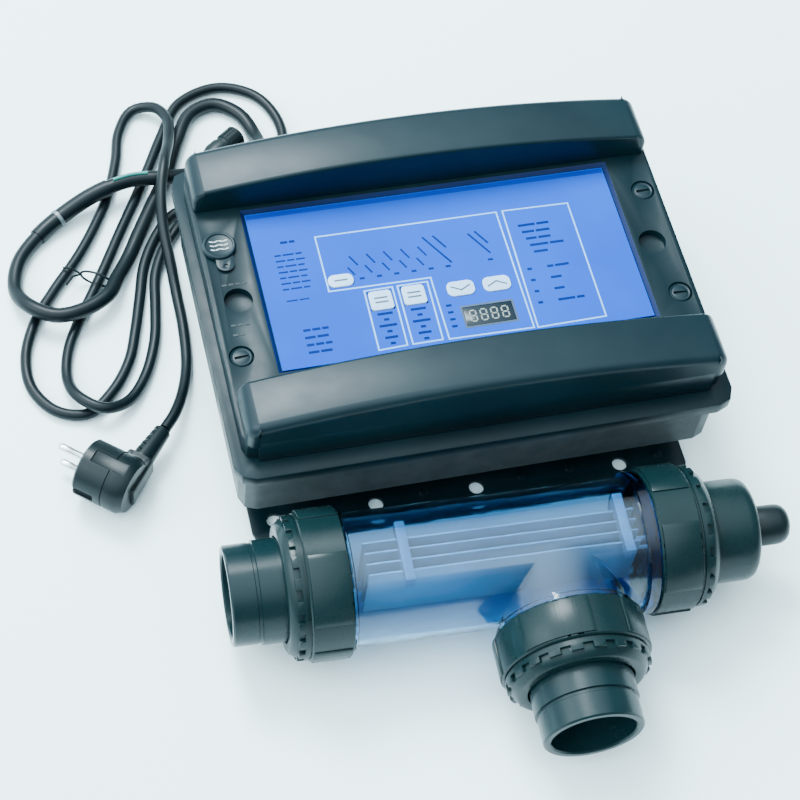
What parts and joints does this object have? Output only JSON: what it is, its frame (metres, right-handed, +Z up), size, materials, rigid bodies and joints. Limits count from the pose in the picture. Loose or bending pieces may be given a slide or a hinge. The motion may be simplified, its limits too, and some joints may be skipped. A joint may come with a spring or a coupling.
{
  "type": "salt chlorine generator",
  "caption": "Wall-mounting control box lying on its back with a key panel and two bowed covers, beside a clear tee-shaped electrolysis cell with union nuts, and their coiled leads.",
  "frame": {"origin": "middle of the footprint of the box and cell together, without the leads, on the floor they lie on", "axes": "+Z up; +X to the right along the box's long side; +Y from the cell towards the box and its leads"},
  "size_m": [0.4419, 0.5507, 0.13],
  "materials": {
    "black_plastic": "satin moulded black with a cool sheen",
    "union_black": "semi-gloss moulded black",
    "panel_blue": "printed blue film",
    "button_white": "fine satin white",
    "clear_blue": "clear, tinted light blue",
    "dark_window": "polished dark",
    "rubber": "dull black",
    "titanium": "dull grey metal",
    "nickel": "bright plated",
    "steel": "zinc plated",
    "aluminium": "plain extruded",
    "copper": "varnished wire",
    "board_green": "solder-resist green",
    "terminal_grey": "plain grey"
  },
  "bodies": {
    "base": {"wall_plate": "black_plastic", "plate_screw_1": "steel", "plate_screw_2": "steel", "base_housing": "black_plastic", "lid_gasket": "rubber", "mains_gland": "black_plastic", "mains_gland_nut": "black_plastic", "cell_gland": "black_plastic", "cell_gland_nut": "black_plastic", "power_board": "board_green", "transformer_winding": "copper", "transformer_bolt": "steel", "heat_sink": "aluminium", "relay": "terminal_grey", "capacitor": "dark_window", "terminal_block": "terminal_grey", "fuse_holder": "dark_window", "cell_body": "clear_blue", "left_face_seal": "rubber", "right_face_seal": "rubber", "branch_face_seal": "rubber", "left_tail": "union_black", "branch_tail": "union_black", "electrode_head": "union_black", "terminal_post_1": "titanium", "terminal_post_2": "titanium", "electrode_plate_1": "titanium", "electrode_plate_2": "titanium", "electrode_plate_3": "titanium", "electrode_plate_4": "titanium", "plate_comb_left": "terminal_grey", "plate_comb_right": "terminal_grey", "mains_cord": "rubber", "cell_cable": "rubber", "plug_body": "black_plastic", "plug_relief": "rubber", "plug_pin_1": "nickel", "plug_pin_2": "nickel", "cell_connector": "union_black"},
    "lid_body": {"lid": "black_plastic", "panel_label": "panel_blue", "display_window": "dark_window", "display_module": "terminal_grey", "control_board": "board_green"},
    "near_cover": {"near_bar": "black_plastic"},
    "far_cover": {"far_bar": "black_plastic"},
    "screw_1": {"lid_screw_1": "black_plastic"},
    "screw_2": {"lid_screw_2": "black_plastic"},
    "screw_3": {"lid_screw_3": "black_plastic"},
    "screw_4": {"lid_screw_4": "black_plastic"},
    "medallion": {"medallion_cap": "black_plastic"},
    "mode_key": {"mode_button": "button_white"},
    "menu_left_key": {"menu_button_left": "button_white"},
    "menu_right_key": {"menu_button_right": "button_white"},
    "down_key": {"down_button": "button_white"},
    "up_key": {"up_button": "button_white"},
    "left_nut": {"left_union_nut": "union_black"},
    "right_nut": {"right_union_nut": "union_black"},
    "branch_nut": {"branch_union_nut": "union_black"},
    "boot": {"head_boot": "rubber"}
  },
  "joints": [
    {"name": "lid_lift", "type": "slide", "parent": "base", "child": "lid_body", "axis": [0, 0, 1], "range_m": [0, 0.06]},
    {"name": "near_cover_lift", "type": "slide", "parent": "lid_body", "child": "near_cover", "axis": [0, 0, 1], "range_m": [0, 0.03]},
    {"name": "far_cover_lift", "type": "slide", "parent": "lid_body", "child": "far_cover", "axis": [0, 0, 1], "range_m": [0, 0.03]},
    {"name": "screw_1_turn", "type": "hinge", "parent": "lid_body", "child": "screw_1", "pos_m": [-0.1402, 0.0433, 0.1], "axis": [0, 0, 1], "range_deg": [0, 90]},
    {"name": "screw_2_turn", "type": "hinge", "parent": "lid_body", "child": "screw_2", "pos_m": [0.1378, 0.0433, 0.1], "axis": [0, 0, 1], "range_deg": [0, 90]},
    {"name": "screw_3_turn", "type": "hinge", "parent": "lid_body", "child": "screw_3", "pos_m": [0.1378, 0.1243, 0.1], "axis": [0, 0, 1], "range_deg": [0, 90]},
    {"name": "screw_4_turn", "type": "hinge", "parent": "lid_body", "child": "screw_4", "pos_m": [-0.1402, 0.1243, 0.1], "axis": [0, 0, 1], "range_deg": [0, 90]},
    {"name": "medallion_lift", "type": "slide", "parent": "lid_body", "child": "medallion", "axis": [0, 0, 1], "range_m": [0, 0.01]},
    {"name": "mode_press", "type": "slide", "parent": "lid_body", "child": "mode_key", "axis": [0, 0, -1], "range_m": [0, 0.0006], "stiffness_N_per_m": 400},
    {"name": "menu_left_press", "type": "slide", "parent": "lid_body", "child": "menu_left_key", "axis": [0, 0, -1], "range_m": [0, 0.0006], "stiffness_N_per_m": 400},
    {"name": "menu_right_press", "type": "slide", "parent": "lid_body", "child": "menu_right_key", "axis": [0, 0, -1], "range_m": [0, 0.0006], "stiffness_N_per_m": 400},
    {"name": "down_press", "type": "slide", "parent": "lid_body", "child": "down_key", "axis": [0, 0, -1], "range_m": [0, 0.0006], "stiffness_N_per_m": 400},
    {"name": "up_press", "type": "slide", "parent": "lid_body", "child": "up_key", "axis": [0, 0, -1], "range_m": [0, 0.0006], "stiffness_N_per_m": 400},
    {"name": "left_nut_turn", "type": "hinge", "parent": "base", "child": "left_nut", "pos_m": [-0.12299, -0.08729, 0.0463], "axis": [-0.9991, 0.0419, 0], "continuous": true},
    {"name": "right_nut_turn", "type": "hinge", "parent": "base", "child": "right_nut", "pos_m": [0.09841, -0.09657, 0.0463], "axis": [0.9991, -0.0419, 0], "continuous": true},
    {"name": "branch_nut_turn", "type": "hinge", "parent": "base", "child": "branch_nut", "pos_m": [0.01861, -0.16179, 0.0463], "axis": [-0.0419, -0.9991, 0], "continuous": true},
    {"name": "boot_pull", "type": "slide", "parent": "base", "child": "boot", "axis": [0.9991, -0.0419, 0], "range_m": [0, 0.025]}
  ]
}
